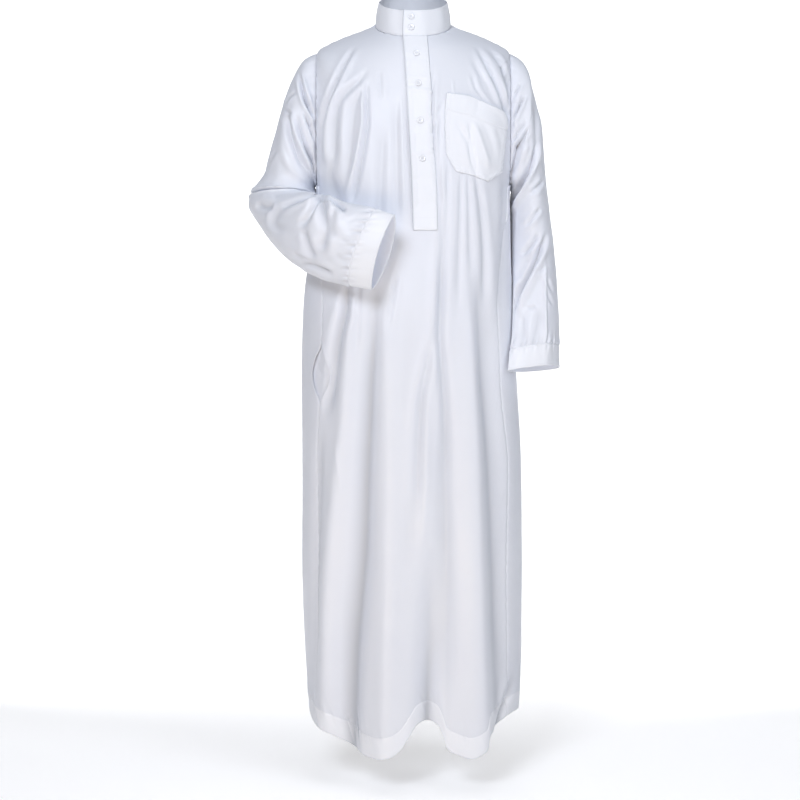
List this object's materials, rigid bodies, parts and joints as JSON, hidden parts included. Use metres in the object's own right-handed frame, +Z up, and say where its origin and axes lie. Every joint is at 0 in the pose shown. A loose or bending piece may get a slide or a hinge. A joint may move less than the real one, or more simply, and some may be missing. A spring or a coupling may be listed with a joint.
{
  "type": "thobe robe",
  "caption": "Ankle-length white robe with a band collar, buttoned half placket, chest pocket and long sleeves, hollow as worn, one sleeve bent across the front.",
  "frame": {"origin": "middle of the neck opening, level with the inner ends of the two shoulder seams, where the wearer's shoulders carry the robe", "axes": "+Z up to the collar, -Y out of the front, +X towards the hanging sleeve"},
  "size_m": [0.6109, 0.4038, 1.4996],
  "materials": {
    "cloth": "smooth poplin with a soft sheen",
    "button": "polished"
  },
  "bodies": {
    "root": {"front": "cloth", "back": "cloth", "side_panel_left": "cloth", "side_panel_right": "cloth", "sleeve_hanging": "cloth", "cuff_hanging": "cloth", "sleeve_bent": "cloth", "cuff_bent": "cloth", "collar": "cloth", "placket": "cloth", "chest_pocket": "cloth", "side_pocket_facing": "cloth", "collar_button_1": "button", "collar_button_2": "button", "placket_button_1": "button", "placket_button_2": "button", "placket_button_3": "button", "placket_button_4": "button"}
  },
  "joints": []
}
